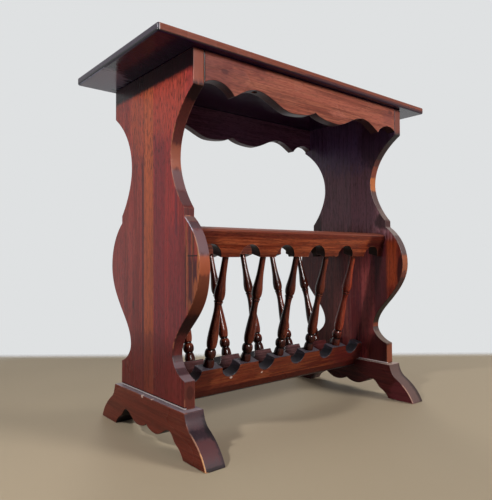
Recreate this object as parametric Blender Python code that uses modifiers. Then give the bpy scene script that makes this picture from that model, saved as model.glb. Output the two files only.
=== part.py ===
"""Magazine rack table: a thin top on two cut-out end panels, with an open rack between them.

The frame is in metres with +Z up. X runs along the table, from the left end panel to the
right one, and Y from the front to the back. The origin is on the floor, under the middle.
Every piece is its own object: the top board, two shaped aprons, two boards in each end
panel, two trestle feet, four rails that lean outwards, ten turned spindles and the screws
that hold the top.
"""
import math

import bmesh
import bpy
from mathutils import Matrix

# Sizes, in metres
HEIGHT = 0.580                 # floor to the upper face of the top

TOP_LENGTH = 0.616             # along X
TOP_DEPTH = 0.270              # along Y
TOP_THICKNESS = 0.0123
TOP_CORNER_RADIUS = 0.004      # the four corners in plan
TOP_ARRIS_RADIUS = 0.0032      # the rounding along the edges

TOP_END_OVERHANG = 0.0630      # past the outer faces of the end panels
TOP_SIDE_OVERHANG = 0.0134     # past the aprons

PANEL_THICKNESS = 0.0177
SHOULDER_DEPTH = 0.0509        # the straight upper part of a panel
UPPER_WAIST_HALF = 0.0615
UPPER_WAIST_SHARE = 0.451      # how far up from the step to the shoulder the waist lies
STEP_HALF = 0.0970             # the short upright step between waist and hips
STEP_TOP_HEIGHT = 0.3480
STEP_BOTTOM_HEIGHT = 0.3360
HIP_HALF = 0.1356
HIP_HEIGHT = 0.2640
FLANK_HALF = 0.1010            # the point below the hips where the curve turns over
FLANK_HEIGHT = 0.1940
LOWER_WAIST_HALF = 0.0649
LOWER_WAIST_HEIGHT = 0.1370
PANEL_BASE_HALF = 0.0975
BASE_STEP_HEIGHT = 0.1052
GLUE_LINE_OUT = 0.0100         # how far in front of the middle a panel's two boards meet

FOOT_TOP_HEIGHT = 0.0651
FOOT_LEDGE = 0.0074            # how far a foot stands out past its panel on each side
FOOT_TOP_HALF = 0.1085
FOOT_TIP_HALF = 0.1590
COVE_HALF = 0.1200             # where the hollow of a toe meets its round
COVE_HEIGHT = 0.0425
TOE_INNER_HALF = 0.1035        # the inner end of a toe's flat sole
TOE_BEND_HALF = 0.0860
TOE_BEND_HEIGHT = 0.0160
FOOT_ARCH_HALF = 0.0660
FOOT_ARCH_HEIGHT = 0.0310
FOOT_BELLY_HALF = 0.0260
FOOT_BELLY_HEIGHT = 0.0165
FOOT_CUSP_HEIGHT = 0.0240

APRON_THICKNESS = 0.0170
APRON_CUSP_DEPTH = 0.0484      # depths of the apron, from its upper edge to its lower one
APRON_BELLY_DEPTH = 0.0589
APRON_ARCH_DEPTH = 0.0374
APRON_DROP_DEPTH = 0.0554
APRON_END_ARCH_DEPTH = 0.0389
APRON_END_DEPTH = 0.0464
APRON_BELLY_SHARE = 0.242      # places along the apron, from its middle to its end
APRON_ARCH_SHARE = 0.564
APRON_DROP_SHARE = 0.762
APRON_END_ARCH_SHARE = 0.907

SPINDLES_PER_SIDE = 5
END_NOTCH_OUT = 0.0340         # from the end of a rail to the middle of its last notch
SPINDLE_FOOT_OUT = 0.0273      # from the middle to a spindle's foot, along Y
SPINDLE_FOOT_HEIGHT = 0.1022
SPINDLE_TOP_OUT = 0.0754
SPINDLE_TOP_HEIGHT = 0.2802
SPINDLE_DIAMETER = 0.0178      # at its fullest
PIN_RADIUS = 0.0034
PIN_LENGTH = 0.0110

RAIL_THICKNESS = 0.0220
UPPER_RAIL_DEPTH = 0.0430      # across the rail, along the spindles
UPPER_NOTCH_RADIUS = 0.0205
UPPER_ARRIS_RADIUS = 0.0040
LOWER_RAIL_DEPTH = 0.0515
LOWER_NOTCH_RADIUS = 0.0180
LOWER_ARRIS_RADIUS = 0.0090
RAIL_TENON_THICKNESS = 0.0100
RAIL_TENON_DEPTH = 0.0160
RAIL_TENON_LENGTH = 0.0080
RAIL_TENON_ROOT = 0.0060       # how far the tenon's block reaches back into its rail
LOWER_TENON_DROP = 0.0250      # from the land of a lower rail to the middle of its tenon

PANEL_TENON_THICKNESS = 0.0090
PANEL_TENON_HALF = 0.0600
PANEL_TENON_LENGTH = 0.0260

SCREW_HEAD_RADIUS = 0.0038
SCREW_HEAD_DEPTH = 0.0026
SCREW_SHANK_RADIUS = 0.0021
SCREW_GRIP = 0.0080            # how far a screw goes into the top
COUNTERBORE_DEPTH = 0.0150
COUNTERBORE_PLAY = 0.0008

FIT = 0.0003                   # the gap left between pieces that touch
OVERRUN = 0.0100               # how far a cutter runs past what it cuts
WELD = 0.000001                # points nearer than this are one point

CURVE_STEPS = 12               # straight facets in each curve of an outline
NOTCH_STEPS = 14
TURNED_SIDES = 16
SCREW_SIDES = 14
ROUND_STEPS = 3

# Places along a spindle from its foot, as shares of its length, and how thick it is there,
# as shares of its fullest diameter.
SPINDLE_SHARES = (
    (0.000, 1.00), (0.034, 0.97), (0.058, 0.88), (0.074, 0.74), (0.094, 0.91),
    (0.119, 0.97), (0.145, 0.90), (0.166, 0.71), (0.190, 0.91), (0.235, 1.00),
    (0.290, 0.96), (0.400, 0.74), (0.500, 0.57), (0.550, 0.60), (0.578, 0.68),
    (0.584, 0.75), (0.598, 0.75), (0.603, 0.69), (0.628, 0.90), (0.662, 0.94),
    (0.705, 0.88), (0.770, 0.66), (0.850, 0.55), (1.000, 0.48),
)

# The two handles of each curve of an outline, as shares of the box between the curve's ends.
# None stands for a straight line.
APRON_CURVE_SHARES = (
    ((0.15, 0.57), (0.51, 1.00)),    # from the middle cusp to the belly
    ((0.34, 0.00), (0.62, 1.00)),    # up to the arch
    ((0.38, 0.00), (0.67, 0.56)),    # down to the drop
    ((0.15, 0.48), (0.52, 1.00)),    # up to the end arch
    ((0.38, 0.00), (0.71, 0.33)),    # down to the panel
)
PANEL_CURVE_SHARES = (
    ((0.53, 0.22), (1.00, 0.56)),    # from the shoulder in to the waist
    ((0.00, 0.31), (0.41, 0.70)),    # out to the step
    None,                            # down the step
    ((0.49, 0.18), (1.00, 0.53)),    # out to the hip
    ((0.00, 0.40), (0.48, 0.71)),    # in to the flank
    ((0.44, 0.31), (1.00, 0.63)),    # in to the lower waist
    ((0.00, 0.41), (0.44, 0.85)),    # out to the base
)
FOOT_TOE_SHARES = (
    ((0.08, 0.40), (0.45, 0.80)),    # down the hollow of the toe
    ((0.40, 0.22), (0.80, 0.53)),    # round the toe to its tip
)
FOOT_ARCH_SHARES = (
    ((0.14, 0.38), (0.49, 0.75)),    # from the sole up to the bend
    ((0.40, 0.24), (0.55, 1.00)),    # up to the arch
    ((0.28, 0.00), (0.55, 1.00)),    # down to the belly
    ((0.42, 0.00), (0.81, 0.40)),    # up to the middle cusp
)

# Sizes that follow
TOP_UNDERSIDE = HEIGHT - TOP_THICKNESS
CARCASE_TOP = TOP_UNDERSIDE - FIT
PANEL_TOP_HALF = TOP_DEPTH / 2 - TOP_SIDE_OVERHANG
SHOULDER_HEIGHT = CARCASE_TOP - SHOULDER_DEPTH
UPPER_WAIST_HEIGHT = STEP_TOP_HEIGHT + UPPER_WAIST_SHARE * (SHOULDER_HEIGHT - STEP_TOP_HEIGHT)
PANEL_OUTER = TOP_LENGTH / 2 - TOP_END_OVERHANG
PANEL_INNER = PANEL_OUTER - PANEL_THICKNESS
PANEL_MIDDLE = PANEL_OUTER - PANEL_THICKNESS / 2
PANEL_BOTTOM = FOOT_TOP_HEIGHT + FIT
BAY_LENGTH = 2 * (PANEL_INNER - FIT)
FOOT_THICKNESS = PANEL_THICKNESS + 2 * FOOT_LEDGE
APRON_MIDDLE = PANEL_TOP_HALF - APRON_THICKNESS / 2
APRON_ARCH_HALF = APRON_ARCH_SHARE * BAY_LENGTH / 2
APRON_ARCH_HEIGHT = CARCASE_TOP - APRON_ARCH_DEPTH
SPINDLE_PITCH = (BAY_LENGTH / 2 - END_NOTCH_OUT) / (SPINDLES_PER_SIDE / 2)
SPINDLE_RUN = math.hypot(SPINDLE_TOP_OUT - SPINDLE_FOOT_OUT,
                         SPINDLE_TOP_HEIGHT - SPINDLE_FOOT_HEIGHT)
SPINDLE_LENGTH = SPINDLE_RUN - 2 * FIT
LEAN = math.atan2(SPINDLE_TOP_OUT - SPINDLE_FOOT_OUT,
                  SPINDLE_TOP_HEIGHT - SPINDLE_FOOT_HEIGHT)
RIGHT_ANGLE = math.radians(90)
HALF_TURN = math.radians(180)
SHARP_ANGLE = math.radians(35)     # edges that turn more than this stay sharp

MAHOGANY = "#7A3B2A"
LIT_MAHOGANY = "#8E4B36"
DARK_MAHOGANY = "#4A2322"
TURNED_MAHOGANY = "#52231B"
STEEL = "#5B5750"


def fresh_collection(name, is_guide=False):
    """Make a collection in the scene."""
    collection = bpy.data.collections.new(name)
    bpy.context.scene.collection.children.link(collection)
    collection.hide_render = is_guide
    return collection


for old in list(bpy.data.objects):
    bpy.data.objects.remove(old, do_unlink=True)
PARTS = fresh_collection("magazine_rack_table")
CUTTERS = fresh_collection("cutters", is_guide=True)


def linear(channel):
    """Turn one sRGB channel into the linear value that a shader takes."""
    return channel / 12.92 if channel <= 0.04045 else ((channel + 0.055) / 1.055) ** 2.4


def material(name, colour, roughness, metallic=0.0):
    """A plain surface from a colour written as hex digits."""
    made = bpy.data.materials.new(name)
    made.use_nodes = True
    surface = made.node_tree.nodes["Principled BSDF"]
    channels = [linear(int(colour[i:i + 2], 16) / 255) for i in (1, 3, 5)]
    surface.inputs["Base Color"].default_value = (*channels, 1.0)
    surface.inputs["Roughness"].default_value = roughness
    surface.inputs["Metallic"].default_value = metallic
    made.diffuse_color = (*channels, 1.0)
    return made


def link(obj, collection):
    """Keep an object in one collection only."""
    for old in list(obj.users_collection):
        old.objects.unlink(obj)
    collection.objects.link(obj)
    return obj


def curve_between(start, end, first_share, second_share):
    """Points of a smooth curve after its start, up to and with its end."""
    run, rise = end[0] - start[0], end[1] - start[1]
    first = (start[0] + first_share[0] * run, start[1] + first_share[1] * rise)
    second = (start[0] + second_share[0] * run, start[1] + second_share[1] * rise)
    points = []
    for step in range(1, CURVE_STEPS + 1):
        t = step / CURVE_STEPS
        weights = ((1 - t) ** 3, 3 * t * (1 - t) ** 2, 3 * t * t * (1 - t), t ** 3)
        points.append(tuple(sum(w * p[axis] for w, p in zip(weights, (start, first, second, end)))
                            for axis in (0, 1)))
    return points


def curved_through(corners, curve_shares):
    """An outline through its corners, with the curve or straight line between each two."""
    outline = [corners[0]]
    for start, end, handle_shares in zip(corners, corners[1:], curve_shares):
        outline += curve_between(start, end, *handle_shares) if handle_shares else [end]
    return outline


def mirrored(half):
    """Close a half outline, drawn from the middle line outwards and back, with its mirror image."""
    other = [(-x, y) for x, y in reversed(half) if abs(x) > WELD]
    return half + other


def flat_piece(name, outline, thickness, collection):
    """A board cut to an outline in its local XY plane, with its thickness centred on Z."""
    data = bpy.data.curves.new(name, "CURVE")
    data.dimensions = "2D"
    data.fill_mode = "BOTH"
    data.extrude = thickness / 2
    spline = data.splines.new("POLY")
    spline.points.add(len(outline) - 1)
    for point, (x, y) in zip(spline.points, outline):
        point.co = (x, y, 0, 1)
    spline.use_cyclic_u = True
    drawn = bpy.data.objects.new(name + "_outline", data)
    collection.objects.link(drawn)
    bpy.context.view_layer.update()
    mesh = bpy.data.meshes.new_from_object(drawn.evaluated_get(bpy.context.evaluated_depsgraph_get()))
    mesh.name = name
    bpy.data.objects.remove(drawn, do_unlink=True)
    shape = bmesh.new()
    shape.from_mesh(mesh)
    bmesh.ops.remove_doubles(shape, verts=shape.verts, dist=WELD)
    for level in (-thickness / 2, thickness / 2):
        cap = [f for f in shape.faces if all(abs(v.co.z - level) < WELD for v in f.verts)]
        bmesh.ops.dissolve_faces(shape, faces=cap)
    bmesh.ops.recalc_face_normals(shape, faces=shape.faces)
    shape.to_mesh(mesh)
    shape.free()
    piece = bpy.data.objects.new(name, mesh)
    collection.objects.link(piece)
    return piece


def box(name, size, collection, centre=(0, 0, 0)):
    """A box of a given size about a centre, all in its own mesh."""
    mesh = bpy.data.meshes.new(name)
    shape = bmesh.new()
    bmesh.ops.create_cube(shape, size=1)
    bmesh.ops.scale(shape, vec=size, verts=shape.verts)
    bmesh.ops.translate(shape, vec=centre, verts=shape.verts)
    shape.to_mesh(mesh)
    shape.free()
    made = bpy.data.objects.new(name, mesh)
    collection.objects.link(made)
    return made


def peg(name, radius, low, high, sides, collection):
    """A round peg or drill along local Z, from low to high."""
    mesh = bpy.data.meshes.new(name)
    shape = bmesh.new()
    bmesh.ops.create_cone(shape, cap_ends=True, segments=sides, radius1=radius,
                          radius2=radius, depth=high - low)
    bmesh.ops.translate(shape, vec=(0, 0, (low + high) / 2), verts=shape.verts)
    shape.to_mesh(mesh)
    shape.free()
    made = bpy.data.objects.new(name, mesh)
    collection.objects.link(made)
    return made


def combine(piece, tool, operation):
    """Cut a piece with a tool, or join the tool to it, and drop the tool."""
    tool.hide_render = True
    tool.display_type = "WIRE"
    modifier = piece.modifiers.new(tool.name, "BOOLEAN")
    modifier.operation = operation
    modifier.object = tool
    bpy.context.view_layer.update()
    result = bpy.data.meshes.new_from_object(piece.evaluated_get(bpy.context.evaluated_depsgraph_get()))
    result.name = piece.name
    piece.modifiers.clear()
    piece.data = result
    bpy.data.objects.remove(tool, do_unlink=True)


def round_edges(piece, chosen, radius, steps=ROUND_STEPS):
    """Round the straight edges for which chosen(first end, second end) holds."""
    shape = bmesh.new()
    shape.from_mesh(piece.data)
    edges = [edge for edge in shape.edges if chosen(edge.verts[0].co, edge.verts[1].co)]
    bmesh.ops.bevel(shape, geom=edges, offset=radius, segments=steps, profile=0.5,
                    affect="EDGES", clamp_overlap=True)
    shape.to_mesh(piece.data)
    shape.free()


def finish(piece, surface, smooth=False):
    """Give a piece its surface, and shade it smooth where it is round."""
    piece.data.materials.clear()
    piece.data.materials.append(surface)
    if smooth:
        piece.data.shade_smooth()
        piece.data.set_sharp_from_angle(angle=SHARP_ANGLE)
    else:
        piece.data.shade_flat()
    return link(piece, PARTS)


def top_board():
    """The thin top, with small round corners and a rounded edge."""
    board = box("top_board", (TOP_LENGTH, TOP_DEPTH, TOP_THICKNESS), PARTS)
    board.location.z = HEIGHT - TOP_THICKNESS / 2
    upright = lambda a, b: abs(a.z - b.z) > TOP_THICKNESS / 2
    round_edges(board, upright, TOP_CORNER_RADIUS)
    level = lambda a, b: abs(a.z - b.z) < WELD and (
        abs(a.x) > TOP_LENGTH / 2 - TOP_CORNER_RADIUS - WELD
        and abs(b.x) > TOP_LENGTH / 2 - TOP_CORNER_RADIUS - WELD
        or abs(a.y) > TOP_DEPTH / 2 - WELD and abs(b.y) > TOP_DEPTH / 2 - WELD)
    round_edges(board, level, TOP_ARRIS_RADIUS)
    for x, y in screw_places():
        drill = peg("pilot", SCREW_SHANK_RADIUS + FIT, -OVERRUN, SCREW_GRIP + FIT,
                    SCREW_SIDES, CUTTERS)
        drill.location = (x, y, TOP_UNDERSIDE)
        combine(board, drill, "DIFFERENCE")
    finish(board, material("top_mahogany", MAHOGANY, 0.30), smooth=True)


def screw_places():
    """Where the screws through the aprons stand, seen from above."""
    return [(x, y) for y in (-APRON_MIDDLE, APRON_MIDDLE)
            for x in (-APRON_ARCH_HALF, APRON_ARCH_HALF)]


def apron(name, side):
    """One apron. Its lower edge has a cusp in the middle, two bellies, two arches and two drops."""
    half_length = BAY_LENGTH / 2
    middle = (0, CARCASE_TOP - APRON_CUSP_DEPTH)
    belly = (APRON_BELLY_SHARE * half_length, CARCASE_TOP - APRON_BELLY_DEPTH)
    arch = (APRON_ARCH_HALF, APRON_ARCH_HEIGHT)
    drop = (APRON_DROP_SHARE * half_length, CARCASE_TOP - APRON_DROP_DEPTH)
    end_arch = (APRON_END_ARCH_SHARE * half_length, CARCASE_TOP - APRON_END_ARCH_DEPTH)
    end = (half_length, CARCASE_TOP - APRON_END_DEPTH)
    half = curved_through((middle, belly, arch, drop, end_arch, end), APRON_CURVE_SHARES)
    half.append((half_length, CARCASE_TOP))
    board = flat_piece(name, mirrored(half), APRON_THICKNESS, PARTS)
    board.rotation_euler = (RIGHT_ANGLE, 0, 0)
    board.location.y = side * APRON_MIDDLE
    for x in (-APRON_ARCH_HALF, APRON_ARCH_HALF):
        bore = peg("counterbore", SCREW_HEAD_RADIUS + COUNTERBORE_PLAY, -OVERRUN,
                   COUNTERBORE_DEPTH, SCREW_SIDES, CUTTERS)
        bore.location = (x, side * APRON_MIDDLE, APRON_ARCH_HEIGHT)
        combine(board, bore, "DIFFERENCE")
        drill = peg("clearance", SCREW_SHANK_RADIUS + FIT, 0, HEIGHT - APRON_ARCH_HEIGHT,
                    SCREW_SIDES, CUTTERS)
        drill.location = (x, side * APRON_MIDDLE, APRON_ARCH_HEIGHT)
        combine(board, drill, "DIFFERENCE")
    finish(board, material(name + "_mahogany", LIT_MAHOGANY, 0.32))


def panel_outline(glue):
    """An end panel's outline from the glue line outwards, top to bottom."""
    top = (PANEL_TOP_HALF, CARCASE_TOP)
    shoulder = (PANEL_TOP_HALF, SHOULDER_HEIGHT)
    waist = (UPPER_WAIST_HALF, UPPER_WAIST_HEIGHT)
    step_top = (STEP_HALF, STEP_TOP_HEIGHT)
    step_bottom = (STEP_HALF, STEP_BOTTOM_HEIGHT)
    hip = (HIP_HALF, HIP_HEIGHT)
    flank = (FLANK_HALF, FLANK_HEIGHT)
    low_waist = (LOWER_WAIST_HALF, LOWER_WAIST_HEIGHT)
    base_step = (PANEL_BASE_HALF, BASE_STEP_HEIGHT)
    half = [(glue, CARCASE_TOP), top]
    half += curved_through((shoulder, waist, step_top, step_bottom, hip, flank, low_waist,
                            base_step), PANEL_CURVE_SHARES)
    half += [(PANEL_BASE_HALF, PANEL_BOTTOM), (glue, PANEL_BOTTOM)]
    return half


def rail_tenon(name, at_upper, rail_end, grow):
    """The block of the tenon at one end of a rail, in the rail's own frame."""
    depth = UPPER_RAIL_DEPTH / 2 if at_upper else -LOWER_TENON_DROP
    length = RAIL_TENON_LENGTH + RAIL_TENON_ROOT
    middle = BAY_LENGTH / 2 - RAIL_TENON_ROOT + length / 2
    size = (length + 2 * grow, RAIL_TENON_DEPTH + 2 * grow, RAIL_TENON_THICKNESS + 2 * grow)
    return box(name, size, CUTTERS, centre=(rail_end * middle, depth, 0))


def rail_frame(side, at_upper):
    """Where a rail lies: local X along it, local Y up the spindles, local Z out of its face."""
    out = SPINDLE_TOP_OUT if at_upper else SPINDLE_FOOT_OUT
    height = SPINDLE_TOP_HEIGHT if at_upper else SPINDLE_FOOT_HEIGHT
    turn = 0 if side < 0 else HALF_TURN
    return (Matrix.Translation((0, side * out, height)) @ Matrix.Rotation(turn, 4, "Z")
            @ Matrix.Rotation(RIGHT_ANGLE + LEAN, 4, "X"))


def panel_board(name, end, side, surface):
    """One of the two boards of an end panel, with its share of the tenon that enters the foot."""
    glue = FIT / 2 - side * GLUE_LINE_OUT
    outline = [(side * y, z) for y, z in panel_outline(glue)]
    board = flat_piece(name, outline, PANEL_THICKNESS, PARTS)
    board.rotation_euler = (RIGHT_ANGLE, 0, RIGHT_ANGLE)
    board.location.x = end * PANEL_MIDDLE
    tenon_width = PANEL_TENON_HALF - glue
    tenon = box("tenon", (PANEL_TENON_THICKNESS, tenon_width, PANEL_TENON_LENGTH + OVERRUN),
                CUTTERS)
    tenon.location = (end * PANEL_MIDDLE, side * (glue + tenon_width / 2),
                      PANEL_BOTTOM + (OVERRUN - PANEL_TENON_LENGTH) / 2)
    combine(board, tenon, "UNION")
    for at_upper in (True, False):
        mortise = rail_tenon("mortise", at_upper, -side * end, FIT)
        mortise.matrix_world = rail_frame(side, at_upper)
        combine(board, mortise, "DIFFERENCE")
    finish(board, surface)


def foot(name, end):
    """A trestle foot: flared toes, and a lower edge with two arches, two bellies and a cusp."""
    top = (FOOT_TOP_HALF, FOOT_TOP_HEIGHT)
    cove = (COVE_HALF, COVE_HEIGHT)
    tip = (FOOT_TIP_HALF, 0)
    toe_inner = (TOE_INNER_HALF, 0)
    bend = (TOE_BEND_HALF, TOE_BEND_HEIGHT)
    arch = (FOOT_ARCH_HALF, FOOT_ARCH_HEIGHT)
    belly = (FOOT_BELLY_HALF, FOOT_BELLY_HEIGHT)
    cusp = (0, FOOT_CUSP_HEIGHT)
    half = curved_through((top, cove, tip), FOOT_TOE_SHARES)
    half += curved_through((toe_inner, bend, arch, belly, cusp), FOOT_ARCH_SHARES)
    block = flat_piece(name, mirrored(half), FOOT_THICKNESS, PARTS)
    block.rotation_euler = (RIGHT_ANGLE, 0, RIGHT_ANGLE)
    block.location.x = end * PANEL_MIDDLE
    slot_depth = PANEL_TENON_LENGTH + FIT
    slot = box("slot", (PANEL_TENON_THICKNESS + 2 * FIT, 2 * (PANEL_TENON_HALF + FIT),
                        slot_depth + OVERRUN), CUTTERS)
    slot.location = (end * PANEL_MIDDLE, 0, FOOT_TOP_HEIGHT + (OVERRUN - slot_depth) / 2)
    combine(block, slot, "DIFFERENCE")
    finish(block, material(name + "_mahogany", MAHOGANY, 0.34))


def notched_outline(depth, notch_radius, at_upper):
    """The outline of a rail: a long bar with a round notch between each two spindles."""
    half_length = BAY_LENGTH / 2
    direction = 1 if at_upper else -1
    count = SPINDLES_PER_SIDE + 1
    outline = [(-half_length, direction * depth), (-half_length, 0)]
    for index in range(count):
        middle = (index - (count - 1) / 2) * SPINDLE_PITCH
        for step in range(NOTCH_STEPS + 1):
            angle = HALF_TURN * step / NOTCH_STEPS
            outline.append((middle - notch_radius * math.cos(angle),
                            direction * notch_radius * math.sin(angle)))
    outline += [(half_length, 0), (half_length, direction * depth)]
    return outline


def rail_mesh(at_upper):
    """The shape of a rail in its own frame: notches, rounded edges, pin holes and tenons."""
    depth = UPPER_RAIL_DEPTH if at_upper else LOWER_RAIL_DEPTH
    radius = UPPER_NOTCH_RADIUS if at_upper else LOWER_NOTCH_RADIUS
    direction = 1 if at_upper else -1
    bar = flat_piece("rail", notched_outline(depth, radius, at_upper), RAIL_THICKNESS, CUTTERS)
    on_edge = lambda p: abs(p.y - direction * depth) < WELD
    on_front = lambda p: p.z > RAIL_THICKNESS / 2 - WELD
    along = lambda a, b: (abs(a.x - b.x) > BAY_LENGTH / 2 and abs(a.z - b.z) < WELD
                          and on_edge(a) and on_edge(b))
    if at_upper:
        round_edges(bar, along, UPPER_ARRIS_RADIUS)
    else:
        round_edges(bar, lambda a, b: along(a, b) and on_front(a), LOWER_ARRIS_RADIUS)
    for rail_end in (-1, 1):
        combine(bar, rail_tenon("tenon", at_upper, rail_end, 0), "UNION")
    for index in range(SPINDLES_PER_SIDE):
        x = (index - (SPINDLES_PER_SIDE - 1) / 2) * SPINDLE_PITCH
        drill = peg("pin_hole", PIN_RADIUS + FIT, -OVERRUN, PIN_LENGTH + FIT, SCREW_SIDES, CUTTERS)
        drill.matrix_world = (Matrix.Translation((x, 0, 0))
                              @ Matrix.Rotation(-direction * RIGHT_ANGLE, 4, "X"))
        combine(bar, drill, "DIFFERENCE")
    if not at_upper:
        reach = PANEL_INNER + OVERRUN
        inner = PANEL_INNER - FOOT_LEDGE - FIT
        for end in (-1, 1):
            ledge = box("ledge", (reach - inner, TOP_DEPTH, FOOT_TOP_HEIGHT + FIT + OVERRUN), CUTTERS)
            ledge.matrix_world = rail_frame(-1, False).inverted() @ Matrix.Translation(
                (end * (reach + inner) / 2, 0, (FOOT_TOP_HEIGHT + FIT - OVERRUN) / 2))
            combine(bar, ledge, "DIFFERENCE")
    mesh = bar.data
    bpy.data.objects.remove(bar, do_unlink=True)
    return mesh


def rails(word, side, shapes):
    """The upper and the lower rail of one side. Both sides have the same two shapes."""
    colour = MAHOGANY if side < 0 else DARK_MAHOGANY
    for level, at_upper in (("upper", True), ("lower", False)):
        name = f"{word}_{level}_rail"
        piece = bpy.data.objects.new(name, shapes[level].copy())
        PARTS.objects.link(piece)
        piece.matrix_world = rail_frame(side, at_upper)
        finish(piece, material(name + "_mahogany", colour, 0.30), smooth=True)


def spindle_mesh():
    """The turned shape of a spindle with a round pin at each end, its foot at the origin."""
    profile = [(PIN_RADIUS, SPINDLE_RUN - FIT + PIN_LENGTH), (PIN_RADIUS, SPINDLE_RUN - FIT)]
    profile += [(wide_share * SPINDLE_DIAMETER / 2, FIT + long_share * SPINDLE_LENGTH)
                for long_share, wide_share in reversed(SPINDLE_SHARES)]
    profile += [(PIN_RADIUS, FIT), (PIN_RADIUS, FIT - PIN_LENGTH)]
    profile = [(0, profile[0][1])] + profile + [(0, profile[-1][1])]
    mesh = bpy.data.meshes.new("spindle_profile")
    mesh.from_pydata([(x, 0, z) for x, z in profile],
                     [(i, i + 1) for i in range(len(profile) - 1)], [])
    turned = bpy.data.objects.new("spindle_profile", mesh)
    CUTTERS.objects.link(turned)
    lathe = turned.modifiers.new("turning", "SCREW")
    lathe.steps = lathe.render_steps = TURNED_SIDES
    lathe.use_merge_vertices = True
    lathe.merge_threshold = WELD
    bpy.context.view_layer.update()
    result = bpy.data.meshes.new_from_object(turned.evaluated_get(bpy.context.evaluated_depsgraph_get()))
    result.name = "spindle"
    bpy.data.objects.remove(turned, do_unlink=True)
    return result


def spindles():
    """Ten spindles that lean outwards, five in front and five behind, on one shared shape."""
    shape = spindle_mesh()
    shape.materials.append(material("turned_mahogany", TURNED_MAHOGANY, 0.22))
    shape.shade_smooth()
    shape.set_sharp_from_angle(angle=SHARP_ANGLE)
    for word, side in (("front", -1), ("back", 1)):
        for index in range(SPINDLES_PER_SIDE):
            piece = bpy.data.objects.new(f"{word}_spindle_{index + 1}", shape)
            x = (index - (SPINDLES_PER_SIDE - 1) / 2) * SPINDLE_PITCH
            piece.location = (x, side * SPINDLE_FOOT_OUT, SPINDLE_FOOT_HEIGHT)
            piece.rotation_euler = (-side * LEAN, 0, 0)
            PARTS.objects.link(piece)


def top_screws():
    """The four screws that go up through the aprons into the top, on one shared shape."""
    head_low = APRON_ARCH_HEIGHT + COUNTERBORE_DEPTH - FIT - SCREW_HEAD_DEPTH
    head = peg("head", SCREW_HEAD_RADIUS, head_low, head_low + SCREW_HEAD_DEPTH, SCREW_SIDES,
               CUTTERS)
    shank = peg("shank", SCREW_SHANK_RADIUS, head_low + SCREW_HEAD_DEPTH / 2,
                TOP_UNDERSIDE + SCREW_GRIP, SCREW_SIDES, CUTTERS)
    combine(head, shank, "UNION")
    surface = material("screw_steel", STEEL, 0.45, 1.0)
    for index, (x, y) in enumerate(screw_places()):
        piece = bpy.data.objects.new(f"top_screw_{index + 1}", head.data)
        piece.location = (x, y, 0)
        PARTS.objects.link(piece)
        finish(piece, surface, smooth=True)
    bpy.data.objects.remove(head, do_unlink=True)


top_board()
apron("front_apron", -1)
apron("back_apron", 1)
for end_word, end_side in (("left", -1), ("right", 1)):
    panel_surface = material(end_word + "_panel_mahogany",
                             MAHOGANY if end_side < 0 else DARK_MAHOGANY, 0.33)
    panel_board(end_word + "_panel_front_board", end_side, -1, panel_surface)
    panel_board(end_word + "_panel_back_board", end_side, 1, panel_surface)
    foot(end_word + "_foot", end_side)
rail_shapes = {"upper": rail_mesh(True), "lower": rail_mesh(False)}
for face_word, face_side in (("front", -1), ("back", 1)):
    rails(face_word, face_side, rail_shapes)
spindles()
top_screws()
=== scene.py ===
# %% [markdown]
# # A magazine rack table in old polished mahogany
#
# This small table has a thin top on two end panels with cut-out outlines. Each panel stands
# on a trestle foot, scalloped aprons run under the top, and a rack of turned spindles
# hangs between the panels. The exact solids come from the frame, and this lesson gives them
# their eased edges, their wood and their polish.

# %% Load the frame
import math

import bmesh
import bpy
import numpy as np
from mathutils import Matrix, Vector


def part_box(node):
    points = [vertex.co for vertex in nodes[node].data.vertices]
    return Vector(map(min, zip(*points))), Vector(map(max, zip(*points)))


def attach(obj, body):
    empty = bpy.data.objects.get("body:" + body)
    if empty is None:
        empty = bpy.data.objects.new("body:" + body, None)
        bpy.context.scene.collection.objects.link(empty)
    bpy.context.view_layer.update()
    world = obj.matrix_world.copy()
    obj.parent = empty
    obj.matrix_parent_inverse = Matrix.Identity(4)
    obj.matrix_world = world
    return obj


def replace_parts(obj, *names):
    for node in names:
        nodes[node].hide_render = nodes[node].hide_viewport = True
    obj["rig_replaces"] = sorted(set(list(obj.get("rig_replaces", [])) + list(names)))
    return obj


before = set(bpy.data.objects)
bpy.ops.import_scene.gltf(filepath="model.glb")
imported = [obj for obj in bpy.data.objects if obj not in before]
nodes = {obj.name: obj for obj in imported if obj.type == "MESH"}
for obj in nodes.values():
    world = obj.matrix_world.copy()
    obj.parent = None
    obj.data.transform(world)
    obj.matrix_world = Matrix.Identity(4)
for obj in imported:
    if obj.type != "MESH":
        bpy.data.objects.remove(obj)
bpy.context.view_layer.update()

# %% [markdown]
# ## Colour management
#
# The Standard view shows a surface about as its colour is written. Other views bend the
# tones, which makes matching a finish by eye harder.

# %% Colour management
scene = bpy.context.scene
scene.view_settings.view_transform = "Standard"

# %% [markdown]
# ## Camera
#
# The table is seen from its front left, from about the height of the rack. A camera can be
# aimed with a Track To constraint, but here its yaw, pitch and roll were found by fitting
# the table's corners, so its axes are built from those three angles.

# %% Camera
CAMERA_PLACE = Vector((-0.6293, -0.6997, 0.2788))
CAMERA_YAW = 0.6892
CAMERA_PITCH = 0.0234
CAMERA_ROLL = -0.0050
FOCAL_PX = 507.6
PICTURE_HEIGHT_PX = 500
HORIZON_SHIFT_PX = -5.5
SENSOR_MM = 36
NEAREST_SEEN = 0.05

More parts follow.
